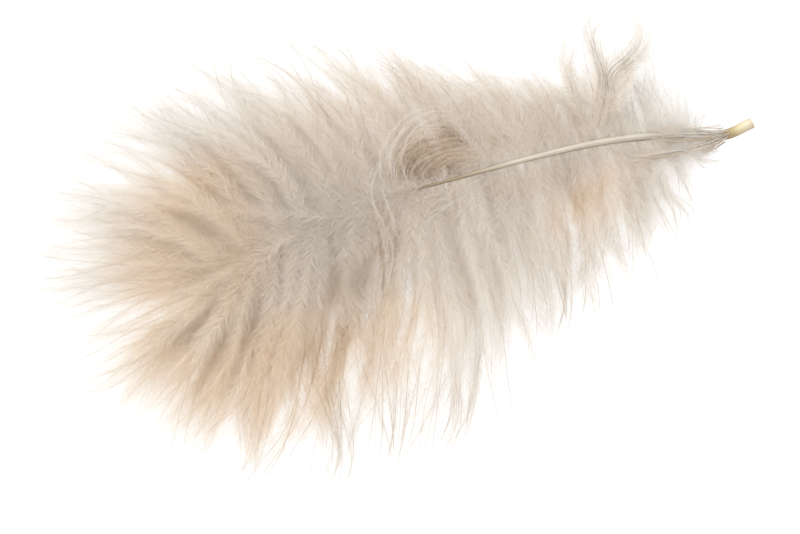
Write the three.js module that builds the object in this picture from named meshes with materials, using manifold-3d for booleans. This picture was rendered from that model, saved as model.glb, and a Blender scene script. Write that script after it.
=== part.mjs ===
// A marabou feather lying on a table, in millimetres. The table is z = 0, the quill's end points to +X
// and the tip to -X, and the origin is on the table under the middle of the feather.
// The feather grew as one piece: a curved shaft, with its down in locks along both sides and round the tip.
import * as THREE from "three";
import { mergeVertices } from "three/addons/utils/BufferGeometryUtils.js";
import Module from "manifold-3d";

const wasm = await Module();
wasm.setup();

// The shaft: the quill's end lies on the table, and the down holds the rest up.
const shaftLine = [
  [73.5, -1.4, 0.85],
  [66.5, -1.9, 1.8],
  [53.5, 1.9, 5.2],
  [41.5, 4.0, 8.8],
  [27.5, 5.0, 12.0],
  [13.5, 5.5, 14.0],
  [-0.5, 5.9, 14.6],
  [-14.5, 5.2, 13.6],
  [-26.5, 3.7, 11.4],
  [-37.5, 1.5, 8.8],
];
const shaftSides = 8;
const shaftSteps = 18;
const boreRadius = 0.5;
const boreDepth = 3;

// Each of these lists holds pairs: a place on the shaft, from the quill's end (0) to the shaft's tip (1), and
// a value there. The left side is at +Y.
const shaftRadii = [[0, 0.95], [0.15, 0.95], [0.3, 0.78], [0.5, 0.46], [0.65, 0.26], [1, 0.2]];
// How long the locks are.
const reach = {
  left: [[0.12, 12], [0.16, 21], [0.3, 20], [0.4, 25], [0.5, 31], [0.6, 37], [0.7, 42], [0.85, 44], [1, 39]],
  right: [[0.12, 8], [0.2, 23], [0.3, 33], [0.4, 40], [0.5, 49], [0.6, 54], [0.7, 56], [0.9, 53], [1, 43]],
};
// The angle between a lock and the way to the tip, in degrees, where it leaves the shaft and at its end.
const leaves = {
  left: [[0.12, 106], [0.2, 98], [0.4, 90], [0.8, 92], [0.9, 86], [1, 60]],
  right: [[0.12, 108], [0.2, 100], [0.4, 86], [0.7, 84], [0.9, 78], [1, 60]],
};
const ends = {
  left: [[0.12, 92], [0.2, 84], [0.4, 62], [0.6, 52], [0.8, 40], [1, 20]],
  right: [[0.12, 96], [0.2, 84], [0.4, 66], [0.7, 62], [0.9, 46], [1, 26]],
};

// The layers of locks: the bottom one lies on the table, and the top one stands over it.
const layers = [
  { perSide: 16, from: 0.13, to: 0.97, share: 1.0, lift: -0.6, endHeight: 0.5, uneven: 0.25 },
  { perSide: 16, from: 0.17, to: 0.98, share: 0.92, lift: 8.5, endHeight: 4.2, uneven: 0.6 },
];
const tipFan = {
  root: 0.98,
  count: 11,
  spread: 50,
  lean: -6, // the fan is turned this far to the right
  length: 37.2,
  wide: 6.4,
  lift: 4.2,
  endHeight: 3.6,
  straighten: 0.8, // share of its leaving angle that a lock of the fan keeps at its end
  rounding: 0.06, // how much shorter the outermost locks of the fan are
};
// A few short locks hug the quill, on both sides by turns.
const quillTuft = { count: 4, from: 0.05, to: 0.12, length: 13, wide: 1.7, leave: 30, end: 12 };
// Thin locks that stand out on the left, near the quill.
const strays = [
  { root: 0.27, leave: 90, end: 104, length: 30, wide: 1.6, lift: 4, endHeight: 10 },
  { root: 0.26, leave: 108, end: 122, length: 26, wide: 1.8, lift: 5, endHeight: 11 },
];
const lockWide = 6; // half the width of the longest lock at its widest
const lockWideLength = 60; // the length that has that width
const lockThin = 0.35; // the width that a lock keeps however short it is, as a share of that
const lockFlat = 0.46; // thickness over width
const lockSides = 5;
const lockBlunt = 0.8; // under 1 fills a lock out along its length
const lockLeast = 0.45; // the least half width
const swellStart = 0.08; // how far into its swell a lock is where it leaves the shaft
const fallSharp = 2.4; // how quickly a lock comes down from the shaft
const archPlace = 0.7; // under 1 brings the top of a lock's arch nearer the shaft
const fullLiftLength = 40; // a shorter lock arches less
const lockPlaces = [0, 0.22, 0.5, 0.8]; // rings along a lock, before its point
const firstCorner = 0.25; // how far round a ring its first corner lies, which puts it on top
const lineSteps = 24; // straight steps that a lock's curve is worked out by
const sink = 0.35; // how deep the bottom locks' undersides are pressed flat by the table
const tableSize = 400;
const tableDepth = 20;

// Small differences between the locks, the same each time: shares of the shaft and of a length, and degrees.
const differ = { place: 0.008, length: 0.1, leave: 5, end: 10, tipEnd: 4, tipLength: 0.04 };
const randomStep = 16807;
const randomRange = 2147483647;
let seed = 11;
const vary = (amount) => {
  seed = (seed * randomStep) % randomRange;
  return ((seed / randomRange) * 2 - 1) * amount;
};

const between = (pairs, at) => {
  const last = pairs.length - 1;
  if (at <= pairs[0][0]) return pairs[0][1];
  if (at >= pairs[last][0]) return pairs[last][1];
  const next = pairs.findIndex(([place]) => place >= at);
  const [lowPlace, low] = pairs[next - 1];
  const [highPlace, high] = pairs[next];
  return low + ((high - low) * (at - lowPlace)) / (highPlace - lowPlace);
};

const shaftCurve = new THREE.CatmullRomCurve3(shaftLine.map((p) => new THREE.Vector3(...p)));

// A closed skin over rings of points, with flat ends, or with a point at the far end.
const skin = (rings, point) => {
  const sides = rings[0].length;
  const places = rings.flat();
  const faces = [];
  for (let ring = 0; ring + 1 < rings.length; ring++) {
    for (let side = 0; side < sides; side++) {
      const a = ring * sides + side;
      const b = ring * sides + ((side + 1) % sides);
      faces.push(a, b, b + sides, a, b + sides, a + sides);
    }
  }
  for (let side = 1; side + 1 < sides; side++) faces.push(0, side + 1, side);
  const end = (rings.length - 1) * sides;
  if (point) {
    places.push(point);
    for (let side = 0; side < sides; side++) {
      faces.push(end + side, end + ((side + 1) % sides), places.length - 1);
    }
  } else {
    for (let side = 1; side + 1 < sides; side++) faces.push(end, end + side, end + side + 1);
  }
  return new THREE.BufferGeometry().setFromPoints(places).setIndex(faces);
};

const solidOf = (geometry) => {
  geometry.deleteAttribute("normal");
  geometry.deleteAttribute("uv");
  const merged = mergeVertices(geometry);
  return new wasm.Manifold(
    new wasm.Mesh({
      numProp: 3,
      vertProperties: merged.getAttribute("position").array,
      triVerts: new Uint32Array(merged.getIndex().array),
    }),
  );
};

// The ring of an oval section round a point of a line, with its first corner on top.
const ringAt = (middle, ahead, wide, high, sides) => {
  const across = new THREE.Vector3(0, 0, 1).cross(ahead).normalize();
  const up = ahead.clone().cross(across).normalize();
  return Array.from({ length: sides }, (_, side) => {
    const turn = (firstCorner + side / sides) * Math.PI * 2;
    return middle
      .clone()
      .addScaledVector(across, Math.cos(turn) * wide)
      .addScaledVector(up, Math.sin(turn) * high);
  });
};

const makeShaft = () => {
  const rings = Array.from({ length: shaftSteps + 1 }, (_, step) => {
    const at = step / shaftSteps;
    const radius = between(shaftRadii, at);
    const middle = shaftCurve.getPointAt(at);
    return ringAt(middle, shaftCurve.getTangentAt(at), radius, radius, shaftSides);
  });
  return solidOf(skin(rings));
};

// The quill's end is a cut tube, open for a few millimetres.
const makeBore = () => {
  const ahead = shaftCurve.getTangentAt(0);
  const mouth = shaftCurve.getPointAt(0);
  const rings = [-1, boreDepth].map((depth) =>
    ringAt(mouth.clone().addScaledVector(ahead, depth), ahead, boreRadius, boreRadius, shaftSides),
  );
  return solidOf(skin(rings));
};

// A lock leaves the shaft at one angle and ends at another. It swells, and then tapers to a point.
const makeLock = ({ root, leave, end, side, length, wide, lift, endHeight }) => {
  const line = [root.clone()];
  const spot = root.clone();
  for (let step = 0; step < lineSteps; step++) {
    const angle = THREE.MathUtils.degToRad(leave + ((end - leave) * (step + 0.5)) / lineSteps);
    spot.x -= (Math.cos(angle) * length) / lineSteps;
    spot.y += (Math.sin(angle) * side * length) / lineSteps;
    line.push(spot.clone());
  }
  const halfWidth = (at) => {
    const swell = Math.sin(Math.PI * (swellStart + (1 - swellStart) * Math.pow(at, lockBlunt)));
    return Math.max(wide * Math.pow(Math.max(swell, 0), lockBlunt), lockLeast);
  };
  const underside = lockFlat * Math.cos(Math.PI / lockSides);
  line.forEach((point, step) => {
    const at = step / lineSteps;
    const lying = at < 1 ? Math.max(endHeight, halfWidth(at) * underside - sink) : endHeight;
    const fall = Math.pow(1 - at, fallSharp);
    const arch = lift * Math.sin(Math.PI * Math.pow(at, archPlace));
    point.z = lying + (root.z - lying) * fall + arch;
  });
  const curve = new THREE.CatmullRomCurve3(line);
  const rings = lockPlaces.map((at) => {
    const half = halfWidth(at);
    return ringAt(curve.getPointAt(at), curve.getTangentAt(at), half, half * lockFlat, lockSides);
  });
  return solidOf(skin(rings, curve.getPointAt(1)));
};

const widthFor = (length) => lockWide * (lockThin + ((1 - lockThin) * length) / lockWideLength);

const makeSideLocks = (layer, name, side) =>
  Array.from({ length: layer.perSide }, (_, count) => {
    const share = (count + 0.5) / layer.perSide;
    const at = layer.from + (layer.to - layer.from) * share + vary(differ.place);
    const length = between(reach[name], at) * layer.share * (1 + vary(differ.length));
    return makeLock({
      root: shaftCurve.getPointAt(at),
      leave: between(leaves[name], at) + vary(differ.leave),
      end: between(ends[name], at) + vary(differ.end),
      side,
      length,
      wide: widthFor(length),
      lift: layer.lift * Math.min(1, length / fullLiftLength),
      endHeight: layer.endHeight * (1 + vary(layer.uneven)),
    });
  });

const makeQuillTuft = () =>
  Array.from({ length: quillTuft.count }, (_, count) => {
    const share = count / (quillTuft.count - 1);
    const root = shaftCurve.getPointAt(quillTuft.from + (quillTuft.to - quillTuft.from) * share);
    return makeLock({
      root,
      leave: quillTuft.leave,
      end: quillTuft.end,
      side: count % 2 === 0 ? -1 : 1,
      length: quillTuft.length,
      wide: quillTuft.wide,
      lift: 0,
      endHeight: root.z,
    });
  });

const makeTipLocks = () =>
  Array.from({ length: tipFan.count }, (_, count) => {
    const turn = (count / (tipFan.count - 1)) * 2 - 1;
    const raised = count % 2 === 1;
    return makeLock({
      root: shaftCurve.getPointAt(tipFan.root),
      leave: tipFan.lean + turn * tipFan.spread,
      end: tipFan.lean + turn * tipFan.spread * tipFan.straighten + vary(differ.tipEnd),
      side: 1,
      length: tipFan.length * (1 - tipFan.rounding * turn * turn + vary(differ.tipLength)),
      wide: tipFan.wide,
      lift: raised ? tipFan.lift : layers[0].lift,
      endHeight: raised ? tipFan.endHeight : layers[0].endHeight,
    });
  });

const makeStrays = () =>
  strays.map((stray) => makeLock({ ...stray, root: shaftCurve.getPointAt(stray.root), side: 1 }));

const makeTable = () =>
  solidOf(new THREE.BoxGeometry(tableSize, tableSize, tableDepth).translate(0, 0, -tableDepth / 2));

const makeFeather = () => {
  const locks = layers.flatMap((layer) => [
    ...makeSideLocks(layer, "left", 1),
    ...makeSideLocks(layer, "right", -1),
  ]);
  locks.push(...makeTipLocks(), ...makeQuillTuft(), ...makeStrays());
  const grown = locks.reduce((whole, lock) => whole.add(lock), makeShaft());
  const mesh = grown.subtract(makeBore()).subtract(makeTable()).getMesh();
  const places = new Float32Array(mesh.numVert * 3);
  for (let i = 0; i < mesh.numVert; i++) {
    places.set(mesh.vertProperties.subarray(i * mesh.numProp, i * mesh.numProp + 3), i * 3);
  }
  const geometry = new THREE.BufferGeometry()
    .setAttribute("position", new THREE.BufferAttribute(places, 3))
    .setIndex(new THREE.BufferAttribute(mesh.triVerts, 1));
  geometry.computeVertexNormals();
  const down = new THREE.MeshStandardMaterial({ color: 0xdcc6ae, roughness: 0.9, metalness: 0 });
  const feather = new THREE.Mesh(geometry, down);
  feather.name = "feather";
  return feather;
};

const group = new THREE.Group();
group.add(makeFeather());
export default group;
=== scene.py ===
# A marabou feather lying on a pale table, seen from straight above. Sizes here are in millimetres until they
# become a mesh, and places are those of the frame: the table is z = 0 and the quill's end points to +X.
import math

import bpy
import numpy as np
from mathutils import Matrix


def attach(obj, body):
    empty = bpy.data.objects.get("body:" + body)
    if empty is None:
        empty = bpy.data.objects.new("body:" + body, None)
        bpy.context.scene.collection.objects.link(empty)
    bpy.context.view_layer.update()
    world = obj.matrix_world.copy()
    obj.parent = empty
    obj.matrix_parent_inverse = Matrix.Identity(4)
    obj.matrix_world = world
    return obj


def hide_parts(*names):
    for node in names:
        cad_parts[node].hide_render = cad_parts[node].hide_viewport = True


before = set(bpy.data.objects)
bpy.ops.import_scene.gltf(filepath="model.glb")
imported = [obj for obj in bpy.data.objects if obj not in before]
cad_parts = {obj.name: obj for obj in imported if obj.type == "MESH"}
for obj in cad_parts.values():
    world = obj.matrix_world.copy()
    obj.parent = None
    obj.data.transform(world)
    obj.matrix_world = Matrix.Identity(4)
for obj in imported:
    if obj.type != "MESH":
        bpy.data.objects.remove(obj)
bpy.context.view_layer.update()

mm = 0.001
print("frame loaded")


# The view: straight down, turned so that the quill points right and up.
view = {
    "mmPerPixel": 0.2,
    "widthPixels": 800,
    "centre": (-3.4, -7.8),
    "turn": 17.5,
    "lens": 100,
    "sensor": 36,
    "middleHeight": 8,
    "clip": (0.01, 20),  # in metres
}


def makeCamera():
    seen = view["mmPerPixel"] * view["widthPixels"]
    height = seen * view["lens"] / view["sensor"] + view["middleHeight"]
    place = (view["centre"][0] * mm, view["centre"][1] * mm, height * mm)
    bpy.ops.object.camera_add(location=place, rotation=(0, 0, math.radians(-view["turn"])))
    camera = bpy.context.object
    camera.name = "overhead_camera"
    camera.data.lens = view["lens"]
    camera.data.sensor_width = view["sensor"]
    camera.data.clip_start, camera.data.clip_end = view["clip"]
    bpy.context.scene.camera = camera


makeCamera()
print("camera placed")


# The line of the shaft, from the quill's cut end to where it fades into the down.
shaftLine = [
    (73.5, -1.4, 1.15),
    (66.5, -1.9, 2.0),
    (53.5, 1.9, 5.2),
    (41.5, 4.0, 8.8),
    (27.5, 5.0, 12.0),
    (13.5, 5.5, 14.0),
    (-0.5, 5.9, 14.6),
    (-14.5, 5.2, 13.6),
    (-26.5, 3.7, 11.4),
    (-37.5, 1.5, 8.8),
]


def unit(vectors):
    return vectors / np.maximum(np.linalg.norm(vectors, axis=-1, keepdims=True), 1e-9)


def smoothLine(points, count):
    # a curve through the points, given back as even steps
    stepsBetween = 40
    points = np.array(points, float)
    ends = np.vstack([2 * points[0] - points[1], points, 2 * points[-1] - points[-2]])
    t = np.linspace(0, 1, stepsBetween, endpoint=False)[:, None]
    runs = []
    for i in range(len(points) - 1):
        a, b, c, d = ends[i:i + 4]
        runs.append(0.5 * (2 * b + (c - a) * t + (2 * a - 5 * b + 4 * c - d) * t**2
                           + (3 * b - a - 3 * c + d) * t**3))
    fine = np.vstack(runs + [points[-1:]])
    walked = np.concatenate([[0], np.cumsum(np.linalg.norm(np.diff(fine, axis=0), axis=1))])
    even = np.linspace(0, walked[-1], count)
    return np.stack([np.interp(even, walked, fine[:, k]) for k in range(3)], axis=1)


shaftPoints = smoothLine(shaftLine, count=400)


def onShaft(at):
    # places on the shaft's middle line, from 0 at the quill's end to 1 at the other
    place = np.clip(at, 0, 1) * (len(shaftPoints) - 1)
    return np.stack([np.interp(place, np.arange(len(shaftPoints)), shaftPoints[:, k])
                     for k in range(3)], axis=-1)


def between(pairs, at):
    # reads a table of (where, how much)
    return np.interp(at, [p[0] for p in pairs], [p[1] for p in pairs])


def smooth(low, high, x):
    t = np.clip((x - low) / (high - low), 0, 1)
    return t * t * (3 - 2 * t)


# How far the down reaches from the shaft, by where it grows: 0 at the quill's end, 1 at the shaft's tip.
reach = {
    1: [(0.1, 6), (0.16, 18), (0.24, 19), (0.3, 18.5), (0.4, 22), (0.5, 27), (0.6, 34),
        (0.7, 40), (0.8, 43), (0.9, 44), (1.0, 41)],
    -1: [(0.1, 4), (0.13, 8), (0.16, 13), (0.2, 20), (0.3, 30), (0.4, 37), (0.5, 45), (0.56, 54),
         (0.62, 57), (0.7, 56), (0.8, 54), (0.9, 50), (1.0, 43)],
}
# The angle to the way to the tip, where a barb leaves the shaft and at its end.
leaves = {
    1: [(0.08, 98), (0.2, 94), (0.3, 92), (0.4, 90), (0.6, 92), (0.8, 94), (0.9, 88), (1, 52)],
    -1: [(0.08, 100), (0.2, 95), (0.3, 92), (0.4, 86), (0.6, 84), (0.7, 82), (0.8, 76), (0.9, 68), (1, 54)],
}
ends = {
    1: [(0.08, 92), (0.2, 84), (0.3, 70), (0.4, 62), (0.6, 50), (0.8, 38), (0.9, 32), (1, 8)],
    -1: [(0.08, 96), (0.2, 84), (0.3, 74), (0.4, 68), (0.6, 60), (0.7, 54), (0.8, 46), (0.9, 34), (1, 18)],
}

pathSteps = 26
# How a barb runs. Waves are counted along the whole barb, and pairs are from and to.
barbRun = {
    "slowWaves": (0.35, 0.9),
    "quickWaves": (1.4, 3),
    "setIn": 3,  # the waves are full after a third of the barb
    "fallPower": 2.2,  # how steeply it comes down from the shaft
    "archPower": 0.75,  # below 1 it is highest before its middle
    "gathers": (0.05, 0.6),
    "opens": (0.7, 1.0),
    "opensBy": 0.45,
}


def wander(n, slow, quick, rng):
    # smooth swings along n barbs: of their direction in degrees, or of their height
    t = np.linspace(0, 1, pathSteps)
    swing = np.zeros((n, pathSteps))
    for size, waves in ((slow, barbRun["slowWaves"]), (quick, barbRun["quickWaves"])):
        swing += size * rng.normal(0, 1, (n, 1)) * np.sin(
            2 * np.pi * (rng.uniform(*waves, (n, 1)) * t + rng.uniform(0, 1, (n, 1))))
    return swing * np.minimum(1, barbRun["setIn"] * t)


def walkPaths(root, leave, end, side, length, lift, endHeight, swing, bob):
    # each barb's middle line, as an array of barbs by steps by three
    n = len(length)
    t = np.linspace(0, 1, pathSteps)
    angle = np.radians(leave[:, None] + (end - leave)[:, None] * t + swing)
    step = length[:, None] / (pathSteps - 1)
    x = np.cumsum(np.concatenate([np.zeros((n, 1)), -np.cos(angle[:, :-1]) * step], axis=1), axis=1)
    y = np.cumsum(np.concatenate([np.zeros((n, 1)), np.sin(angle[:, :-1]) * step], axis=1), axis=1)
    fall = (1 - t) ** barbRun["fallPower"]
    arch = np.sin(np.pi * t ** barbRun["archPower"])
    z = endHeight[:, None] + (root[:, 2] - endHeight)[:, None] * fall + lift[:, None] * arch
    return np.stack([root[:, :1] + x, root[:, 1:2] + y * side[:, None], z + bob], axis=-1)


def gather(paths, clump, squeeze):
    # barbs of one clump draw together along their length and open again towards the tip
    t = np.linspace(0, 1, pathSteps)
    opened = barbRun["opensBy"] * smooth(*barbRun["opens"], t)
    pull = (smooth(*barbRun["gathers"], t) - opened)[None, :, None]
    for number in np.unique(clump):
        own = clump == number
        middle = paths[own].mean(axis=0, keepdims=True)
        paths[own] += (middle - paths[own]) * pull * squeeze[own][:, None, None]
    return paths


# The strand along a barb. The nudges change hue and light a little from corner to corner.
strandForm = {
    "corners": (90, 210, 330),
    "tipLoses": 0.5,  # the share of its thickness
    "hueNudges": (-0.006, 0.0, 0.006),
    "lightNudges": (0.0, 0.006, -0.004),
    "pointNudge": 0.01,
    "lightLimits": (0.02, 0.95),
}


def barbTubes(paths, radius, tone):
    # a thin three-sided strand along each barb, closed at the root and pointed at the tip
    n, k, _ = paths.shape
    ahead = unit(np.gradient(paths, axis=1))
    across = unit(np.cross(np.array([0, 0, 1.0]), ahead))
    up = np.cross(ahead, across)
    turn = np.radians(strandForm["corners"])
    t = np.linspace(0, 1, k)
    girth = (radius[:, None] * (1 - strandForm["tipLoses"] * t * t))[:, :-1, None, None]
    rings = paths[:, :-1, None] + girth * (np.cos(turn)[:, None] * across[:, :-1, None]
                                           + np.sin(turn)[:, None] * up[:, :-1, None])
    points = np.concatenate([rings.reshape(n, -1, 3), paths[:, -1:]], axis=1)
    faces = []
    for ring in range(k - 2):
        for s in range(3):
            a, b = ring * 3 + s, ring * 3 + (s + 1) % 3
            faces += [(a, b, b + 3), (a, b + 3, a + 3)]
    last, tip = (k - 2) * 3, (k - 1) * 3
    faces += [(last, last + 1, tip), (last + 1, last + 2, tip), (last + 2, last, tip), (0, 2, 1)]
    faces = np.array(faces)
    each = points.shape[1]
    faces = (faces[None] + (np.arange(n) * each)[:, None, None]).reshape(-1, 3)
    tints = []
    for values, nudges in zip(tone, (strandForm["hueNudges"], strandForm["lightNudges"])):
        body = np.repeat(values[:, :-1], 3, axis=1) + np.tile(nudges, k - 1)[None]
        point = values[:, -1:] + strandForm["pointNudge"]
        tints.append(np.concatenate([body, point], axis=1).reshape(-1))
    return points.reshape(-1, 3), faces, tints[0], tints[1]


# The fine hairs: how flat they lie, and how hue and light differ from one to the next and over each.
hairForm = {
    "fewest": 3,  # on a barb
    "facesUp": 0.8,
    "facesStray": 0.6,
    "hueStray": 0.04,
    "lightStray": 0.05,
    "edgeHue": 0.008,
    "middleLight": 0.02,
    "tipLight": 0.05,
    "lightLimits": (0.02, 0.92),
}


def placeHairs(paths, length, plan, rng):
    # the barb that each hair sits on and how far along it; a long barb has more of them
    count = np.maximum(hairForm["fewest"], (length * plan["hairs"] / length.sum()).astype(int))
    barb = np.repeat(np.arange(len(paths)), count)
    order = np.arange(len(barb)) - np.repeat(np.cumsum(count) - count, count)
    return barb, between(plan["thinning"], (order + rng.uniform(0, 1, len(barb))) / count[barb])


def barbules(paths, length, tone, plan, rng):
    # the hairs on each barb: plain slivers near its root, and bent ones of two faces towards its tip
    k = paths.shape[1]
    barb, t = placeHairs(paths, length, plan, rng)
    place = np.minimum(t * (k - 1), k - 1.001)
    low = place.astype(int)
    part = (place - low)[:, None]
    root = paths[barb, low] * (1 - part) + paths[barb, low + 1] * part
    kept = rng.uniform(0, 1, len(barb)) > patchwork(sheer, root[:, 0], root[:, 1]) * plan["thins"]
    if plan["opens"]:
        kept &= rng.uniform(0, 1, len(barb)) > plan["opens"] * inHollow(root[:, 0], root[:, 1])
    barb, t, low, root = barb[kept], t[kept], low[kept], root[kept]
    n = len(barb)
    ahead = unit(paths[barb, low + 1] - paths[barb, low])
    across = unit(np.cross(np.array([0, 0, 1.0]), ahead))
    up = np.cross(ahead, across)
    around = np.where(rng.random(n) < 0.5, 0, np.pi) + rng.normal(0, plan["scatter"], n)
    out = np.cos(around)[:, None] * across + np.sin(around)[:, None] * up
    openness = np.radians(between(plan["open"], t) + rng.normal(0, plan["openStray"], n))[:, None]
    first = np.cos(openness) * ahead + np.sin(openness) * out
    second = unit(first + plan["curl"] * ahead + rng.normal(0, plan["frizz"], (n, 3)))
    size = plan["hair"] * between(plan["profile"], t) * rng.uniform(*plan["hairStray"], n)
    size = size * between(plan["hairByLength"], length[barb])
    half = size[:, None] / 2
    middle = root + first * half
    tip = middle + second * half
    thick = plan["thick"] * between(plan["thinner"], t)[:, None]
    facing = np.array([0, 0, hairForm["facesUp"]]) + rng.normal(0, hairForm["facesStray"], (n, 3))
    wide = unit(np.cross(first, facing)) * thick / 2
    hue = tone[0][barb, low] + rng.normal(0, hairForm["hueStray"], n)
    light = tone[1][barb, low] + rng.normal(0, hairForm["lightStray"], n)
    light = np.clip(light, *hairForm["lightLimits"])
    edge, inner, end = hairForm["edgeHue"], hairForm["middleLight"], hairForm["tipLight"]
    bent = t > plan["bentFrom"]
    plain = ~bent
    plainPoints = np.stack([root - wide, root + wide, tip], axis=1)[plain].reshape(-1, 3)
    plainFaces = np.arange(len(plainPoints)).reshape(-1, 3)
    plainHue = (hue[plain, None] + np.array([-edge, edge, 0])).reshape(-1)
    plainLight = (light[plain, None] + np.array([0, 0, end])).reshape(-1)
    bentPoints = np.stack([root, middle - wide, middle + wide, tip], axis=1)[bent].reshape(-1, 3)
    bentFaces = np.array([(0, 2, 1), (1, 2, 3)])[None] + (np.arange(bent.sum()) * 4)[:, None, None]
    bentHue = (hue[bent, None] + np.array([0, -edge, edge, 0])).reshape(-1)
    bentLight = (light[bent, None] + np.array([0, inner, inner, end])).reshape(-1)
    return (np.vstack([plainPoints, bentPoints]),
            np.vstack([plainFaces, bentFaces.reshape(-1, 3) + len(plainPoints)]),
            np.concatenate([plainHue, bentHue]), np.concatenate([plainLight, bentLight]))


# Where the down lies open over lower down, painted darker there as shade: middle, half widths, turn in
# degrees and how strongly.
hollows = [
    ((10.0, 11.0), (9.5, 5.0), 6, 1.0),
    ((-5.0, -4.0), (2.6, 9.0), -12, 1.0),
    ((-14.5, -6.0), (5.0, 3.5), 40, 0.6),
    ((-22.0, -18.0), (9.0, 4.5), 30, 0.55),
    ((20.5, 9.0), (6.0, 2.2), 0, 0.5),
    ((36.5, -4.5), (6.5, 2.2), 25, 0.6),
]
# Where it is thin enough to see the table through, in the same way.
sheer = [
    ((58, 11), (12, 9), 0, 0.5),
    ((61, -9), (9, 8), 0, 0.4),
]
# Where the down is peach, in the same way.
peach = [
    ((-43, 9), (20, 21), 0, 0.85),
    ((-38, -22), (25, 16), 20, 0.95),
    ((-57, -15), (15, 14), 0, 0.95),
    ((-10, -21), (15, 10), 10, 0.7),
    ((38, -6), (14, 6), 10, 0.6),
]
# Where it is paler than elsewhere, in the same way.
pales = [
    ((17, -10), (17, 12), -15, 0.9),
    ((6, -26), (11, 11), 0, 1.0),
    ((38, -8), (12, 7), 0, 0.8),
    ((-9, -32), (12, 7), 0, 0.5),
    ((-42, 15), (14, 13), 0, 0.3),
    ((-30, 30), (22, 9), 0, 0.9),
]
patchEdge = (0.55, 1.3)  # where a patch starts to fade and where it ends, in half widths
# The feather's outline as an oval, its half widths on the left and the right, and where in it the rim starts.
outline = {
    "middle": (-6, -3),
    "halfLength": 68,
    "halfWidths": (44, 48),
    "rimFrom": 0.64,
}
# What goes into hue, from 0 grey-beige to 1 peach, and into light, from 0 dark to 1 pale.
tones = {
    "hue": 0.12,
    "hueLeft": 0.2,
    "left": (10, 24),  # where the left side sets in, along Y
    "huePeach": 0.85,
    "hueHollow": 0.5,
    "rimGreys": 0.62,
    "light": 0.48,
    "lightTip": 0.06,
    # painted light: the down is lighter towards the outline, as if lit through its thin fringe
    "paintedRimLight": 0.38,
    # painted light: the high layers lighter than the low ones beneath them
    "paintedTopLight": 0.05,
    "lightPale": 0.14,
    # painted shade: the down is darker inside the hollows
    "hollowPaintedShade": 0.2,
    "barbStray": 0.03,
}


def patchwork(patches, x, y):
    # the strongest of some soft oval patches at each place
    best = np.zeros_like(x)
    for (cx, cy), (wide, high), turn, strength in patches:
        c, s = math.cos(math.radians(turn)), math.sin(math.radians(turn))
        along, over = ((x - cx) * c + (y - cy) * s) / wide, ((y - cy) * c - (x - cx) * s) / high
        best = np.maximum(best, strength * (1 - smooth(*patchEdge, np.hypot(along, over))))
    return best


def inHollow(x, y):
    return patchwork(hollows, x, y)


def nearRim(x, y):
    # 0 inside the feather to 1 at its outline
    along = (x - outline["middle"][0]) / outline["halfLength"]
    aside = y - outline["middle"][1]
    halfWidth = np.where(aside > 0, *outline["halfWidths"])
    return smooth(outline["rimFrom"], 1.0, np.hypot(along, aside / halfWidth))


def colours(paths, plan, rng, lockTone, height):
    # hue and light at each step of each barb
    n, k, _ = paths.shape
    x, y = paths[..., 0], paths[..., 1]
    t = np.linspace(0, 1, k)[None]
    rim = nearRim(x, y)
    hollow = inHollow(x, y)
    hue = tones["hue"] + tones["hueLeft"] * smooth(*tones["left"], y)
    hue = hue + tones["huePeach"] * patchwork(peach, x, y) + tones["hueHollow"] * hollow
    hue = hue * (1 - tones["rimGreys"] * rim) + lockTone[0][:, None]
    hue = hue + rng.normal(0, tones["barbStray"], (n, 1))
    # the rim term is painted light: lighter towards the outline, as if lit through the thin fringe
    light = tones["light"] + tones["lightTip"] * t + tones["paintedRimLight"] * rim
    # the high layers are painted lighter, as light falls on the top
    light = light + tones["paintedTopLight"] * height[:, None] + tones["lightPale"] * patchwork(pales, x, y)
    # painted shade darkens the down inside the hollows
    light = light - tones["hollowPaintedShade"] * hollow + lockTone[1][:, None]
    light = light + rng.normal(0, tones["barbStray"], (n, 1))
    return hue + plan["warmer"], light + plan["lighter"]


# The stretch along X where the shaft shows, and how high the down may stand over its middle line: on it,
# beside it, and before or after that stretch.
bareShaft = {
    "starts": (0, 9),
    "stops": (51, 55),
    "beside": (0.8, 2.2),
    "over": 0.1,
    "moreBeside": 4,
    "moreElsewhere": 8,
}
tableGap = {"points": 0.06, "barbs": 0.15}  # the least height over the table
uvLimits = (0.004, 0.996)  # keeps hue and light inside the map


def layUnder(points):
    # down that crosses the bare stretch of the shaft passes below it
    middle = np.interp(points[:, 0], shaftPoints[::-1, 0], shaftPoints[::-1, 1])
    height = np.interp(points[:, 0], shaftPoints[::-1, 0], shaftPoints[::-1, 2])
    bare = smooth(*bareShaft["starts"], points[:, 0]) * (1 - smooth(*bareShaft["stops"], points[:, 0]))
    near = 1 - smooth(*bareShaft["beside"], np.abs(points[:, 1] - middle))
    limit = height + bareShaft["over"] + bareShaft["moreBeside"] * (1 - near)
    limit = limit + bareShaft["moreElsewhere"] * (1 - bare)
    points[:, 2] = np.minimum(points[:, 2], limit)


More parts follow.
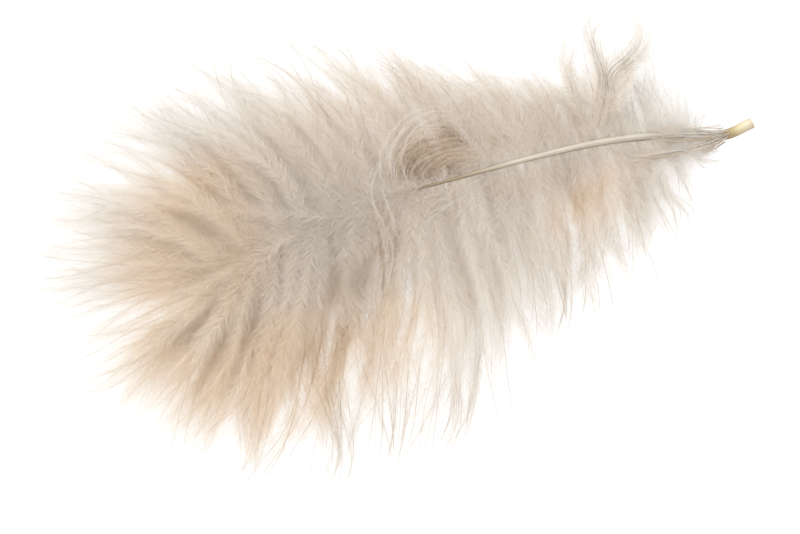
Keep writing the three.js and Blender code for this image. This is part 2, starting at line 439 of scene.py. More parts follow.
def makeMesh(name, points, faces, hue, light, material):
    layUnder(points)
    points[:, 2] = np.maximum(points[:, 2], tableGap["points"])
    mesh = bpy.data.meshes.new(name)
    mesh.vertices.add(len(points))
    mesh.vertices.foreach_set("co", (points * mm).astype(np.float32).ravel())
    mesh.loops.add(faces.size)
    mesh.loops.foreach_set("vertex_index", faces.ravel().astype(np.int32))
    mesh.polygons.add(len(faces))
    mesh.polygons.foreach_set("loop_start", np.arange(0, faces.size, 3, dtype=np.int32))
    mesh.update(calc_edges=True)
    uv = mesh.uv_layers.new(name="OFBake")
    spots = np.clip(np.stack([hue, light], axis=1), *uvLimits)
    uv.data.foreach_set("uv", spots[faces.ravel()].astype(np.float32).ravel())
    mesh.materials.append(material)
    piece = bpy.data.objects.new(name, mesh)
    bpy.context.collection.objects.link(piece)
    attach(piece, "root")
    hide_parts("feather")
    print(name, len(faces), "faces")


# Helpers for the materials' nodes.
def newNode(tree, kind, x, y, **values):
    node = tree.nodes.new(kind)
    node.location = (x, y)
    for key, value in values.items():
        setattr(node, key, value)
    return node


def ramp(tree, x, y, source, stops):
    node = newNode(tree, "ShaderNodeValToRGB", x, y)
    while len(node.color_ramp.elements) < len(stops):
        node.color_ramp.elements.new(0.5)
    for element, (place, colour) in zip(node.color_ramp.elements, stops):
        element.position = place
        element.color = (*colour, 1)
    tree.links.new(source, node.inputs["Fac"])
    return node.outputs["Color"]


def mapRange(tree, x, y, source, fromRange, toRange=(0, 1)):
    node = newNode(tree, "ShaderNodeMapRange", x, y)
    for key, value in zip(("From Min", "From Max", "To Min", "To Max"), (*fromRange, *toRange)):
        node.inputs[key].default_value = value
    tree.links.new(source, node.inputs["Value"])
    return node.outputs["Result"]


def multiply(tree, x, y, first, second):
    node = newNode(tree, "ShaderNodeMix", x, y, data_type="RGBA", blend_type="MULTIPLY")
    node.inputs["Factor"].default_value = 1
    tree.links.new(first, node.inputs["A"])
    tree.links.new(second, node.inputs["B"])
    return node.outputs["Result"]


# The down's finish. Its UV map holds hue across and light upwards, and the ramps turn them into colour.
downFinish = {
    "hues": [(0.0, (0.90, 0.85, 0.79)), (0.4, (0.94, 0.88, 0.81)), (1.0, (0.965, 0.86, 0.73))],
    "lights": [(0.0, (0.44, 0.38, 0.30)), (0.22, (0.76, 0.72, 0.66)), (0.5, (0.965, 0.96, 0.95)),
               (1.0, (1.0, 1.0, 1.0))],
    "pale": (0.985, 0.975, 0.955),
    "paling": ((0.55, 1.0), (0, 0.85)),  # from which light on, and how far, it turns to the pale colour
    "grain": 40,
    "specks": ((0.3, 0.7), (0.95, 1.0)),
    "roughness": 0.75,
    "specular": 0.2,
    "through": 0.55,  # the share of light that passes through
}


def makeDownMaterial():
    material = bpy.data.materials.new("marabou_down")
    material.use_nodes = True
    tree = material.node_tree
    tree.nodes.clear()
    uv = newNode(tree, "ShaderNodeUVMap", -1100, 0, uv_map="OFBake").outputs["UV"]
    parts = newNode(tree, "ShaderNodeSeparateXYZ", -900, 0)
    tree.links.new(uv, parts.inputs[0])
    hues = ramp(tree, -650, 150, parts.outputs["X"], downFinish["hues"])
    lights = ramp(tree, -650, -150, parts.outputs["Y"], downFinish["lights"])
    pale = newNode(tree, "ShaderNodeMix", -150, 50, data_type="RGBA")
    pale.inputs["B"].default_value = (*downFinish["pale"], 1)
    paling = mapRange(tree, -400, -300, parts.outputs["Y"], *downFinish["paling"])
    tree.links.new(paling, pale.inputs["Factor"])
    tree.links.new(multiply(tree, -350, 50, hues, lights), pale.inputs["A"])
    grain = newNode(tree, "ShaderNodeTexNoise", -900, -250)
    grain.inputs["Scale"].default_value = downFinish["grain"]
    tree.links.new(uv, grain.inputs["Vector"])
    specks = mapRange(tree, -400, -500, grain.outputs["Fac"], *downFinish["specks"])
    final = multiply(tree, 50, 50, pale.outputs["Result"], specks)
    surface = newNode(tree, "ShaderNodeBsdfPrincipled", 300, 100)
    surface.inputs["Roughness"].default_value = downFinish["roughness"]
    surface.inputs["Specular IOR Level"].default_value = downFinish["specular"]
    tree.links.new(final, surface.inputs["Base Color"])
    glow = newNode(tree, "ShaderNodeBsdfTranslucent", 300, -150)
    tree.links.new(final, glow.inputs["Color"])
    both = newNode(tree, "ShaderNodeMixShader", 600, 0)
    both.inputs["Fac"].default_value = downFinish["through"]
    tree.links.new(surface.outputs[0], both.inputs[1])
    tree.links.new(glow.outputs[0], both.inputs[2])
    output = newNode(tree, "ShaderNodeOutputMaterial", 850, 0)
    tree.links.new(both.outputs[0], output.inputs["Surface"])
    return material


downMaterial = makeDownMaterial()

# What all the down has in common; each part of it below sets its own over these. Tables run from a barb's
# root, 0, to its tip, 1, unless a note says otherwise.
downLook = {
    "thinning": [(0, 0), (0.4, 0.3), (0.65, 0.54), (0.8, 0.72), (0.91, 0.86), (1, 1)],  # spreads the hairs
    "open": [(0, 58), (0.5, 46), (1, 26)],  # the hairs' angle to their barb
    "openStray": 9,
    "scatter": 0.6,
    "curl": 0.5,
    "frizz": 0.26,
    "hair": 3.7,
    "hairStray": (0.6, 1.2),
    "hairByLength": [(0, 0.7), (25, 1.0), (60, 1.1)],  # by the barb's length
    "profile": [(0, 0.55), (0.12, 0.9), (0.35, 1.0), (0.6, 0.95), (0.8, 0.8), (0.92, 0.55), (1, 0.22)],
    "thick": 0.062,
    "thinner": [(0, 1), (0.55, 1), (0.8, 0.62), (1, 0.4)],
    "bentFrom": 0.62,
    "strand": 0.06,
    "strandTone": [(0, -0.05), (0.5, -0.08), (0.75, -0.2), (1, -0.4)],
    # of locks and barbs: how far their direction swings and strays, and how much they bob up and down
    "lockSwing": (9, 4),
    "barbSwing": (11, 5),
    "lockStray": (4, 7),
    "barbStray": (8, 12),
    "lockBob": 0.9,
    "lockQuickBob": 0.2,
    "barbBob": (0.3, 0.1),
    "fullLift": 36,  # shorter barbs arch less
    "liftStray": 0.5,
    "endStray": 0.7,
    "lowestEnd": 0.2,
    "clumpStray": 0.008,
    "lockTone": (0.04, 0.035),
    # a barb's own share of the length, by chance: few are the shortest or the longest, and the long ones
    # end in a dark thread
    "barbShare": [(0, 0.6), (0.3, 0.84), (0.72, 1.0), (0.9, 1.1), (1, 1.22)],
    "longFrom": 1.05,
    "longTone": -0.16,
    "longThicker": 0.6,
    "inkInside": 0.3,  # how much of the strands' darkening is left inside the feather
    "longest": 64,
    "opens": 0.0,  # the share of the hairs that a hollow takes away
    "thins": 1.0,  # how far the sheer places count
    "warmer": 0.0,
    "lighter": 0.0,
    "endSpread": 0.8,  # how much of a fan's spread is left at its barbs' ends
}

# The two sides, each in a low and a high layer, then the fan round the shaft's end and what falls over
# the shaft.
downs = {
    "down_left_low": {"seed": 1, "side": 1, "barbs": 160, "locks": 18, "clumps": 50, "from": 0.1, "to": 1.0,
                      "share": (0.92, 1.04), "lift": (-0.8, 1.6), "endHeight": (0.4, 2.6), "longest": 50,
                      "squeeze": (0.0, 0.3), "hairs": 84000, "height": 0.0},
    "down_left_high": {"seed": 2, "side": 1, "barbs": 130, "locks": 16, "clumps": 44, "from": 0.12, "to": 1.0,
                       "share": (0.78, 0.95), "lift": (4.1, 5.0), "endHeight": (2.8, 4.4), "longest": 46,
                       "lockSwing": (4, 2), "lockStray": (2, 3), "lockBob": 0.3,
                       "squeeze": (0.0, 0.4), "hairs": 78000, "height": 1.0, "opens": 0.93},
    "down_right_low": {"seed": 3, "side": -1, "barbs": 170, "locks": 18, "clumps": 52, "from": 0.1, "to": 1.0,
                       "share": (0.9, 1.04), "lift": (-0.8, 1.6), "endHeight": (0.4, 2.6),
                       "squeeze": (0.1, 0.6), "hairs": 98000, "height": 0.0},
    "down_right_high": {"seed": 4, "side": -1, "barbs": 130, "locks": 16, "clumps": 38,
                        "from": 0.12, "to": 1.0,
                        "share": (0.66, 0.92), "lift": (3.4, 5.4), "endHeight": (2.8, 5.0),
                        "lockSwing": (10, 5), "barbSwing": (13, 8), "lockBob": 0.5,
                        "squeeze": (0.1, 0.5), "hairs": 88000, "height": 1.0, "opens": 0.93},
    "down_tip": {"seed": 15, "side": 0, "barbs": 290, "locks": 18, "clumps": 110, "from": 0.8, "to": 1.0,
                 "bentFrom": 0.82,
                 "spread": 96, "lean": 4, "past": 40, "back": 108, "share": (0.95, 1.03),
                 "lift": (1.0, 2.6), "endHeight": (1.2, 3.2), "lockSwing": (5, 3), "lockBob": 0.3,
                 "barbShare": [(0, 0.68), (0.3, 0.9), (0.8, 1.03), (1, 1.1)],
                 "thinning": [(0, 0), (0.2, 0.3), (0.44, 0.54), (0.68, 0.74), (0.87, 0.9), (1, 1)],
                 "profile": [(0, 0.5), (0.2, 0.85), (0.5, 1.0), (0.8, 0.95), (0.93, 0.7), (1, 0.3)],
                 "lockTone": (0.03, 0.02), "squeeze": (0.0, 0.25), "hairs": 122000, "height": 0.3},
    "down_crown": {"seed": 6, "side": 0, "barbs": 130, "locks": 14, "clumps": 34, "from": 0.6, "to": 0.97,
                   "spread": 42, "lean": -4, "past": 20, "back": 70, "share": (0.8, 1.05),
                   "lift": (2.8, 4.0), "endHeight": (4.5, 7.0), "lockSwing": (8, 4), "lockBob": 0.3,
                   "squeeze": (0.0, 0.25), "hairs": 66000, "height": 1.0},
}


def makeFluff(name, paths, length, plan, rng, lockTone, height, longer):
    # one piece of down: the strands, drawn at every second step, and their hairs
    hue, light = colours(paths, plan, rng, lockTone, height)
    t = np.linspace(0, 1, pathSteps)
    radius = plan["strand"] * (1 + plan["longThicker"] * longer)
    shown = plan["inkInside"] + (1 - plan["inkInside"]) * nearRim(paths[..., 0], paths[..., 1])
    ink = between(plan["strandTone"], t)[None] + plan["longTone"] * longer[:, None] * t[None]
    inked = np.clip(light + shown * ink, *strandForm["lightLimits"])
    strands = barbTubes(paths[:, ::2], radius, (hue[:, ::2], inked[:, ::2]))
    hairs = barbules(paths, length, (hue, light), plan, rng)
    points = np.vstack([strands[0], hairs[0]])
    faces = np.vstack([strands[1], hairs[1] + len(strands[0])])
    makeMesh(name, points, faces, np.concatenate([strands[2], hairs[2]]),
             np.concatenate([strands[3], hairs[3]]), downMaterial)


def blended(values, row):
    # what is set lock by lock, passing smoothly from one to the next
    place = np.clip(row * len(values) - 0.5, 0, len(values) - 1.001)
    low = place.astype(int)
    part = smooth(0, 1, place - low).reshape((-1,) + (1,) * (values.ndim - 1))
    return values[low] * (1 - part) + values[low + 1] * part


def makeDown(name, plan):
    plan = {**downLook, **plan}
    rng = np.random.default_rng(plan["seed"])
    locks, n = plan["locks"], plan["barbs"]
    row = (np.arange(n) + rng.uniform(0, 1, n)) / n
    along = plan["from"] + (plan["to"] - plan["from"]) * row
    if plan["side"]:
        side = np.full(n, float(plan["side"]))
        leave = between(leaves[plan["side"]], along)
        end = between(ends[plan["side"]], along)
        length = between(reach[plan["side"]], along)
    else:
        # a fan: the row runs from one side of the shaft to the other
        along = rng.uniform(plan["from"], plan["to"], n)
        side = np.ones(n)
        leave = plan["lean"] + (row * 2 - 1) * plan["spread"]
        end = plan["lean"] + (row * 2 - 1) * plan["spread"] * plan["endSpread"]
        length = plan["past"] + (1 - along) * plan["back"] * np.cos(np.radians(leave)) ** 2
    lockStray, barbStray = plan["lockStray"], plan["barbStray"]
    leave = leave + blended(rng.normal(0, lockStray[0], locks), row) + rng.normal(0, barbStray[0], n)
    end = end + blended(rng.normal(0, lockStray[1], locks), row) + rng.normal(0, barbStray[1], n)
    ownShare = between(plan["barbShare"], rng.uniform(0, 1, n))
    length = length * blended(rng.uniform(*plan["share"], locks), row) * ownShare
    length = np.minimum(length, plan["longest"])
    lift = blended(rng.uniform(*plan["lift"], locks), row) * np.minimum(1, length / plan["fullLift"])
    lift = lift + rng.normal(0, plan["liftStray"], n)
    endHeight = blended(rng.uniform(*plan["endHeight"], locks), row) + rng.normal(0, plan["endStray"], n)
    endHeight = np.maximum(plan["lowestEnd"], endHeight)
    swing = blended(wander(locks, *plan["lockSwing"], rng), row) + wander(n, *plan["barbSwing"], rng)
    bob = blended(wander(locks, plan["lockBob"], plan["lockQuickBob"], rng), row)
    bob = bob + wander(n, *plan["barbBob"], rng)
    paths = walkPaths(onShaft(along), leave, end, side, length, lift, endHeight, swing, bob)
    clump = np.floor((row + rng.normal(0, plan["clumpStray"], n)) * plan["clumps"]).astype(int)
    paths = gather(paths, clump, rng.uniform(*plan["squeeze"], n))
    paths[..., 2] = np.maximum(paths[..., 2], tableGap["barbs"])
    lockTone = [blended(rng.normal(0, amount, locks), row) for amount in plan["lockTone"]]
    longer = (ownShare > plan["longFrom"]).astype(float)
    makeFluff(name, paths, length, plan, rng, lockTone, np.full(n, plan["height"]), longer)


for name, plan in downs.items():
    makeDown(name, plan)
print("down grown")


# Loose wisps, each a few barbs along a line of its own: how many, how far apart they run at the start and at
# the end, how many hairs, how long these are, and how much warmer and lighter than the down round them.
wispLook = {
    "thinning": [(0, 0), (1, 1)],
    "open": [(0, 40), (1, 16)],
    "profile": [(0, 0.8), (0.3, 1.0), (0.7, 0.75), (1, 0.25)],
    "strandTone": [(0, -0.3), (1, -0.55)],
    "bentFrom": 0.0,
    "wave": 0.35,
    "waves": (0.5, 1.8),  # along the whole wisp
    "flatness": 0.6,
    "starts": (0, 0.16),  # where along the line a barb of the wisp starts and stops
    "stops": (0.74, 1.0),
    "hueVary": 0.04,
    "vary": 0.06,  # how much lighter or darker single barbs are
    "height": 0.5,
    "inkInside": 1.0,
    "thins": 0.0,
}
wisps = {
    "tuft": {"seed": 21, "hair": 2.6, "hairs": 13000, "warmer": 0.15, "lighter": -0.14, "strand": 0.055,
             "curl": 0.2, "frizz": 0.6, "open": [(0, 60), (1, 45)],
             "strandTone": [(0, 0.0), (0.4, -0.12), (1, -0.26)], "lines": [
        {"line": [(43.3, 7.3, 9), (45.7, 12.8, 12), (48.8, 16.7, 14), (53.2, 18.8, 15), (55.8, 22.2, 15),
                  (55.8, 27.0, 13), (54.1, 33.0, 11)], "barbs": 8, "apart": (1.8, 1.8)},
        {"line": [(43.2, 8.4, 9), (44.8, 14.1, 12), (45.2, 19.9, 13), (46.2, 25.2, 13), (50.2, 29.2, 12),
                  (53.1, 32.5, 11)], "barbs": 5, "apart": (1.6, 2.4)},
        {"line": [(47.1, 11.3, 9), (50.0, 15.0, 11), (53.7, 17.6, 12), (57.7, 19.5, 12), (60.1, 20.6, 11)],
         "barbs": 8, "apart": (1.6, 3.0)},
        {"line": [(41.4, 11.0, 8), (40.4, 16.6, 10), (41.1, 21.6, 11), (44.0, 25.9, 10), (46.3, 28.9, 9)],
         "barbs": 4, "apart": (1.4, 2.2)},
        {"line": [(45.0, 9.9, 9), (46.9, 14.7, 12), (47.3, 20.1, 13), (46.9, 24.0, 13), (47.3, 29.1, 12),
                  (47.2, 34.5, 11)], "barbs": 4, "apart": (1.4, 2.0)},
    ]},
    "tuft_core": {"seed": 25, "hair": 3.0, "hairs": 2400, "warmer": 0.5, "lighter": -0.08, "strand": 0.035,
                  "curl": 0.2, "frizz": 0.5, "open": [(0, 55), (1, 40)],
                  "strandTone": [(0, 0.0), (1, -0.1)], "lines": [
        {"line": [(44.0, 9.5, 9), (46.5, 13.0, 12), (49.5, 16.5, 14), (53.5, 19.5, 15)],
         "barbs": 8, "apart": (1.8, 2.2)},
        {"line": [(45.5, 9.0, 9), (47.0, 13.5, 11), (48.5, 18.5, 12)], "barbs": 5, "apart": (1.6, 2.0)},
    ]},
    "overlay": {"seed": 22, "hair": 1.2, "hairs": 1700, "warmer": -0.02, "lighter": 0.14, "frizz": 0.5,
                "strandTone": [(0, 0.05), (1, 0.1)], "lines": [
        {"line": [(-3.3, -4.2, 17.5), (-3.1, 3.0, 18.5), (-2.9, 8.2, 19), (0.5, 12.4, 18.5),
                  (3.7, 14.5, 17.5)], "barbs": 2, "apart": (0.9, 0.5)},
        {"line": [(-5.0, 5.7, 18), (-3.9, 1.2, 18.5), (-5.2, -5.7, 17.5), (-9.6, -12.7, 15)],
         "barbs": 2, "apart": (0.6, 0.9)},
        {"line": [(1.3, 6.9, 17.5), (2.3, 12.9, 18.5), (6.9, 17.3, 18.5), (12.6, 17.9, 18),
                  (18.0, 15.6, 16.5)], "barbs": 3, "apart": (1.6, 2.0)},
        {"line": [(13.7, 19.8, 11), (20.6, 21.8, 12), (26.7, 21.1, 11.5), (30.6, 16.9, 11)],
         "barbs": 4, "apart": (0.7, 0.8)},
    ]},
    "in_hollow": {"seed": 26, "hair": 1.2, "hairs": 13000, "warmer": 0.2, "lighter": 0.0, "strand": 0.045,
                  "strandTone": [(0, -0.25), (0.5, 0.0), (1, 0.1)], "open": [(0, 20), (1, 14)], "lines": [
        {"line": [(2.0, 7.2, 14.6), (3.4, 12.0, 15.0), (9.0, 15.0, 14.8), (17.0, 14.2, 14.0)],
         "barbs": 22, "apart": (1.2, 1.6)},
        {"line": [(3.5, 6.8, 14.6), (5.2, 10.2, 15.0), (10.0, 12.2, 14.6), (17.0, 11.2, 13.8)],
         "barbs": 18, "apart": (1.2, 1.4)},
        {"line": [(6.0, 6.6, 14.4), (8.4, 8.9, 14.8), (13.0, 10.0, 14.4), (19.5, 9.0, 13.4)],
         "barbs": 18, "apart": (1.0, 1.2)},
        {"line": [(10.0, 6.3, 14.2), (13.0, 7.6, 14.4), (17.5, 8.0, 13.8), (23.0, 7.4, 12.8)],
         "barbs": 12, "apart": (0.7, 0.8)},
        {"line": [(10.0, 4.9, 14.2), (5.0, 3.4, 14.8), (0.5, 0.4, 14.6)], "barbs": 18, "apart": (3.2, 2.2)},
        {"line": [(22.0, 5.3, 13.2), (16.5, 4.3, 14.0), (10.0, 2.9, 14.4)], "barbs": 14, "apart": (0.8, 1.4)},
    ]},
    "stragglers": {"seed": 23, "hair": 2.6, "hairs": 19000, "warmer": 0.0, "lighter": -0.02, "strand": 0.07,
                   "strandTone": [(0, -0.15), (1, -0.4)], "lines": [
        {"line": [(45.0, -1.7, 6), (44.2, -14.9, 3), (41.0, -26.6, 1)], "barbs": 4, "apart": (1.0, 1.4)},
        {"line": [(50.8, -2.6, 5), (52.5, -9.4, 3), (55.1, -14.3, 2), (55.5, -20.7, 1)],
         "barbs": 7, "apart": (1.4, 2.6)},
        {"line": [(-24.5, -22.7, 3), (-26.1, -40.2, 1.5), (-32.0, -48.7, 1)],
         "barbs": 8, "apart": (3.0, 1.6)},
        {"line": [(5.8, -22.6, 3), (-0.4, -40.6, 1.5), (-8.3, -49.9, 1)], "barbs": 9, "apart": (3.0, 1.2)},
        {"line": [(-9.0, -24.0, 3), (-14.0, -40.0, 1.5), (-19.0, -49.5, 1)],
         "barbs": 10, "apart": (4.0, 1.4)},
        {"line": [(-36.0, -22.0, 3), (-42.0, -36.0, 1.5), (-48.5, -42.5, 1)],
         "barbs": 9, "apart": (4.0, 3.0)},
        {"line": [(28.4, -9.9, 5), (26.3, -24.0, 2), (22.2, -32.2, 1)], "barbs": 5, "apart": (2.4, 1.6)},
        {"line": [(-30.0, 22.0, 4), (-36.0, 36.0, 3), (-44.0, 44.0, 2)], "barbs": 8, "apart": (4.0, 3.0)},
        {"line": [(-10.0, 24.0, 4), (-14.0, 36.0, 3), (-21.0, 45.0, 2)], "barbs": 8, "apart": (4.0, 2.5)},
        {"line": [(12.0, 20.0, 4), (9.0, 30.0, 3), (3.0, 38.5, 2)], "barbs": 6, "apart": (4.0, 2.0)},
        {"line": [(59.0, -1.2, 4), (62.5, -6.0, 2), (66.0, -7.6, 1.5)], "barbs": 4, "apart": (1.0, 1.5)},
        {"line": [(60.5, -0.5, 4), (63.0, 3.5, 4), (66.0, 5.0, 3)], "barbs": 3, "apart": (0.8, 1.4)},
    ]},
    "quill_wrap": {"seed": 24, "hair": 1.8, "hairs": 2600, "warmer": 0.8, "lighter": 0.04, "strand": 0.12,
                   "vary": 0.26, "strandTone": [(0, -0.12), (0.5, 0.06), (1, -0.1)],
                   "open": [(0, 12), (1, 10)], "lines": [
        {"line": [(68.2, -1.5, 3.1), (65.0, -1.6, 4.2), (60.5, -0.6, 6.0), (55.0, 1.0, 7.6),
                  (50.0, 1.9, 8.8)], "barbs": 18, "apart": (0.45, 0.9)},
        {"line": [(67.8, -2.3, 2.8), (63.5, -2.8, 4.8), (57.0, -2.4, 7.0), (50.0, -1.4, 8.8),
                  (44.5, -0.2, 10.4)], "barbs": 24, "apart": (0.45, 0.8)},
        {"line": [(67.0, -2.8, 2.6), (63.0, -3.8, 3.8), (59.0, -4.2, 5.0)], "barbs": 12, "apart": (0.4, 0.6)},
        {"line": [(66.8, -1.0, 3.6), (62.5, 0.2, 5.2), (57.0, 2.0, 7.0), (51.0, 3.6, 8.6)],
         "barbs": 10, "apart": (0.45, 0.9)},
    ]},
}


def makeWisp(name, plan):
    plan = {**downLook, **wispLook, **plan}
    rng = np.random.default_rng(plan["seed"])
    t = np.linspace(0, 1, pathSteps)[:, None]
    paths = []
    for each in plan["lines"]:
        middle = smoothLine(each["line"], pathSteps)
        ahead = unit(np.gradient(middle, axis=0))
        across = unit(np.cross(np.array([0, 0, 1.0]), ahead))
        up = np.cross(ahead, across)
        for _ in range(each["barbs"]):
            away = rng.normal(0, 1, (2, 2))
            width = each["apart"][0] * (1 - t) * away[0] + each["apart"][1] * t * away[1]
            wave = rng.uniform(*plan["waves"], 2) * t + rng.uniform(0, 1, 2)
            width = width + plan["wave"] * np.sin(2 * np.pi * wave) * rng.normal(0, 1, 2) * t
            path = middle + width[:, :1] * across + plan["flatness"] * width[:, 1:] * up
            start = int(rng.uniform(*plan["starts"]) * pathSteps)
            stop = int(rng.uniform(*plan["stops"]) * pathSteps)
            paths.append(smoothLine(path[start:stop], pathSteps))
    paths = np.array(paths)
    paths[..., 2] = np.maximum(paths[..., 2], tableGap["barbs"])
    n = len(paths)
    length = np.linalg.norm(np.diff(paths, axis=1), axis=2).sum(axis=1)
    lockTone = [rng.normal(0, plan["hueVary"], n), rng.normal(0, plan["vary"], n)]
    makeFluff(name, paths, length, plan, rng, lockTone, np.full(n, plan["height"]), np.zeros(n))


for name, plan in wisps.items():
    makeWisp(name, plan)
print("wisps laid")


# The shaft, drawn out ring by ring along its line, with a cut and hollow end.
shaft = {
    "radii": [(0, 1.1), (0.06, 1.05), (0.12, 0.92), (0.21, 0.84), (0.36, 0.64), (0.46, 0.52), (0.56, 0.37),
              (0.66, 0.22), (0.8, 0.12), (1, 0.1)],
    "sides": 20,
    "rings": 70,
    "bore": 0.55,
    "depth": 3.5,
    "cutPast": 70,  # the end face that lies past this X is the cut one
    "dip": 1.6,  # how far the faded end sinks into the down
    "dips": (0.64, 0.8),
    "smoothUpTo": 50,  # degrees
    "fibreScale": 700,
    "fibreDetail": 4,
    "fibreStretch": 0.06,
    "streaks": ((0.3, 0.7), (0.86, 1)),
    "roughness": (0.34, 0.56),
    "bumpStrength": 0.35,
    "bumpHeight": 0.08,
    "toneSpan": (-38, 73.7),  # the X range of the tones along the shaft
    # along the shaft from its faded end: darker where it runs under the down, which is painted shade, pale on
    # the bare stretch, then a dark brown band and the golden quill
    "alongTones": [
        (0.0, (0.36, 0.29, 0.20)),
        (0.34, (0.32, 0.25, 0.15)),
        (0.46, (0.42, 0.34, 0.23)),
        (0.57, (0.68, 0.62, 0.53)),
        (0.82, (0.68, 0.62, 0.54)),
        (0.93, (0.42, 0.30, 0.14)),
        (0.958, (0.54, 0.42, 0.22)),
        (0.972, (0.81, 0.70, 0.43)),
        (0.988, (0.88, 0.81, 0.62)),
        (1.0, (0.78, 0.66, 0.44)),
    ],
    # painted light and shade across the shaft, from its right edge (0) to its left (1), with a painted
    # highlight
    "acrossPaintedShade": [
        (0.0, (0.50, 0.44, 0.36)),
        (0.16, (0.70, 0.66, 0.60)),
        (0.4, (0.82, 0.80, 0.76)),
        (0.46, (0.70, 0.66, 0.60)),
        (0.52, (0.94, 0.93, 0.92)),
        (0.8, (1.0, 1.0, 1.0)),
        (0.93, (0.88, 0.85, 0.80)),
        (1.0, (0.62, 0.56, 0.48)),
    ],
}


def shaftRadius(at):
    return float(between(shaft["radii"], at))


def makeShaftMaterial():
    material = bpy.data.materials.new("quill_horn")
    material.use_nodes = True
    tree = material.node_tree
    surface = tree.nodes["Principled BSDF"]
    where = newNode(tree, "ShaderNodeTexCoord", -1100, 0).outputs["Object"]
    parts = newNode(tree, "ShaderNodeSeparateXYZ", -900, 0)
    tree.links.new(where, parts.inputs[0])
    along = mapRange(tree, -700, 0, parts.outputs["X"], [x * mm for x in shaft["toneSpan"]])
    colour = ramp(tree, -450, 150, along, shaft["alongTones"])
    # across the shaft, painted light and shade: a paler upper side with a painted highlight, a fine groove
    # drawn as a line of painted shade, a greyer shaded lower side and painted shade at the edges
    across = newNode(tree, "ShaderNodeAttribute", -900, -250, attribute_name="across").outputs["Fac"]
    sides = ramp(tree, -450, -150, mapRange(tree, -700, -250, across, (-1, 1)), shaft["acrossPaintedShade"])
    stretch = newNode(tree, "ShaderNodeMapping", -900, -550)
    stretch.inputs["Scale"].default_value = (shaft["fibreStretch"], 1, 1)
    tree.links.new(where, stretch.inputs["Vector"])
    noise = newNode(tree, "ShaderNodeTexNoise", -700, -550)
    noise.inputs["Scale"].default_value = shaft["fibreScale"]
    noise.inputs["Detail"].default_value = shaft["fibreDetail"]
    tree.links.new(stretch.outputs["Vector"], noise.inputs["Vector"])
    fibres = noise.outputs["Fac"]
    streaks = mapRange(tree, -450, -450, fibres, *shaft["streaks"])
    # the shaft's colour times the painted light and shade across it
    sided = multiply(tree, -150, 100, colour, sides)
    tree.links.new(multiply(tree, 0, 0, sided, streaks), surface.inputs["Base Color"])
    roughness = mapRange(tree, -150, -250, fibres, (0, 1), shaft["roughness"])
    tree.links.new(roughness, surface.inputs["Roughness"])
    bump = newNode(tree, "ShaderNodeBump", -150, -500)
    bump.inputs["Strength"].default_value = shaft["bumpStrength"]
    bump.inputs["Distance"].default_value = shaft["bumpHeight"] * mm
    tree.links.new(fibres, bump.inputs["Height"])
    tree.links.new(bump.outputs["Normal"], surface.inputs["Normal"])
    return material


def selectNone():
    for item in bpy.context.selected_objects:
        item.select_set(False)


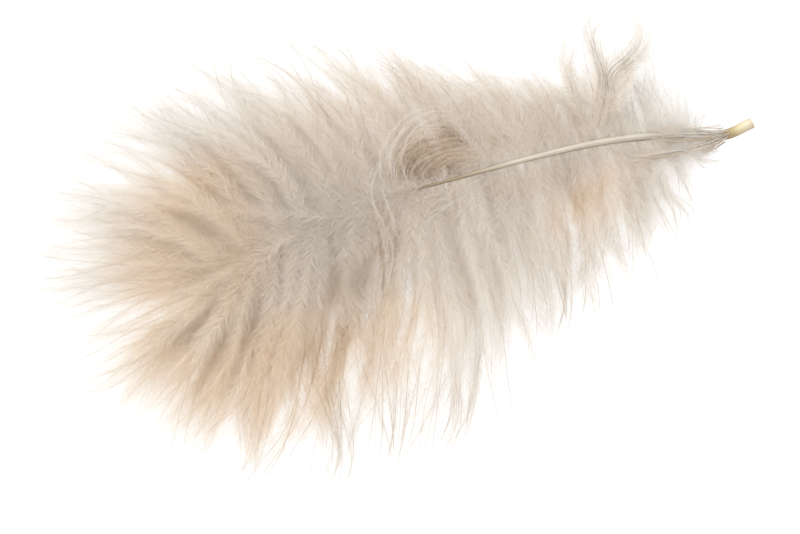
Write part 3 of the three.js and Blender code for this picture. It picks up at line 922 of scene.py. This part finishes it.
def makeShaft():
    rings = shaft["rings"]
    at = np.linspace(0, 1, rings)
    middles = onShaft(at)
    middles[:, 2] -= shaft["dip"] * smooth(*shaft["dips"], at)
    ahead = unit(np.gradient(middles, axis=0))
    selectNone()
    yaw = [math.atan2(v[1], v[0]) for v in ahead]
    pitch = [math.atan2(v[2], math.hypot(v[0], v[1])) for v in ahead]
    bpy.ops.mesh.primitive_circle_add(
        vertices=shaft["sides"], radius=shaftRadius(0) * mm, fill_type="NGON",
        location=[c * mm for c in middles[0]], rotation=(0, math.pi / 2 - pitch[0], yaw[0]))
    piece = bpy.context.object
    piece.name = "shaft"
    bpy.ops.object.transform_apply(location=True, rotation=True, scale=True)
    bpy.ops.object.mode_set(mode="EDIT")
    bpy.ops.mesh.select_all(action="SELECT")
    for i in range(1, rings):
        step = [(b - a) * mm for a, b in zip(middles[i - 1], middles[i])]
        grow = shaftRadius(at[i]) / shaftRadius(at[i - 1])
        centre = [c * mm for c in middles[i]]
        bpy.ops.mesh.extrude_region_move(TRANSFORM_OT_translate={"value": step})
        bpy.ops.transform.resize(value=(grow, grow, grow), center_override=centre)
        bpy.ops.transform.rotate(value=yaw[i - 1] - yaw[i], orient_axis="Z", center_override=centre)
    bpy.ops.object.mode_set(mode="OBJECT")
    for face in piece.data.polygons:
        face.select = len(face.vertices) > 4 and face.center.x > shaft["cutPast"] * mm
    bpy.ops.object.mode_set(mode="EDIT")
    bpy.ops.mesh.select_mode(type="FACE")
    bpy.ops.mesh.inset(thickness=(shaftRadius(0) - shaft["bore"]) * mm)
    inward = [v * shaft["depth"] * mm for v in ahead[0]]
    bpy.ops.mesh.extrude_region_move(TRANSFORM_OT_translate={"value": inward})
    bpy.ops.mesh.select_all(action="SELECT")
    bpy.ops.mesh.normals_make_consistent(inside=False)
    bpy.ops.object.mode_set(mode="OBJECT")
    bpy.ops.object.shade_smooth_by_angle(angle=math.radians(shaft["smoothUpTo"]))
    # how far to the left (1) or right (-1) of the shaft's middle each point lies
    across = piece.data.attributes.new("across", "FLOAT", "POINT")
    for vertex, value in zip(piece.data.vertices, across.data):
        x, y = vertex.co.x / mm, vertex.co.y / mm
        ring = int(np.argmin((middles[:, 0] - x) ** 2 + (middles[:, 1] - y) ** 2))
        sideways = (y - middles[ring, 1]) * -ahead[ring, 0] + (x - middles[ring, 0]) * ahead[ring, 1]
        value.value = float(np.clip(sideways / shaftRadius(at[ring]), -1, 1))
    piece.data.materials.clear()
    piece.data.materials.append(makeShaftMaterial())
    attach(piece, "root")
    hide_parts("feather")


makeShaft()
print("shaft made")


# The table and the light. Lamps' places and all sizes here are in metres.
studio = {
    "floorSize": 6,
    "floorGlow": 0.86,
    "floorColour": (0.22, 0.22, 0.22),
    "floorRoughness": 0.9,
    "worldGlow": 0.95,
    "lamps": [
        {"name": "window", "place": (-0.5, 0.6, 0.9), "size": 0.7, "watts": 6},
        {"name": "fill", "place": (0.7, -0.3, 0.9), "size": 0.9, "watts": 2},
    ],
}


def makeStudio():
    selectNone()
    bpy.ops.mesh.primitive_plane_add(size=studio["floorSize"], location=(0, 0, 0))
    floor = bpy.context.object
    floor.name = "table"
    material = bpy.data.materials.new("table_white")
    material.use_nodes = True
    surface = material.node_tree.nodes["Principled BSDF"]
    surface.inputs["Base Color"].default_value = (*studio["floorColour"], 1)
    surface.inputs["Roughness"].default_value = studio["floorRoughness"]
    surface.inputs["Specular IOR Level"].default_value = 0
    surface.inputs["Emission Color"].default_value = (1, 1, 1, 1)
    surface.inputs["Emission Strength"].default_value = studio["floorGlow"]
    floor.data.materials.append(material)
    world = bpy.data.worlds.new("studio")
    bpy.context.scene.world = world
    world.use_nodes = True
    back = world.node_tree.nodes["Background"]
    back.inputs["Color"].default_value = (1, 1, 1, 1)
    back.inputs["Strength"].default_value = studio["worldGlow"]
    for lamp in studio["lamps"]:
        bpy.ops.object.light_add(type="AREA", location=lamp["place"])
        light = bpy.context.object
        light.name = lamp["name"]
        light.data.size = lamp["size"]
        light.data.energy = lamp["watts"]
        light.rotation_euler = (-light.location).to_track_quat("-Z", "Y").to_euler()
    bpy.context.scene.view_settings.view_transform = "Standard"


makeStudio()
print("studio lit")
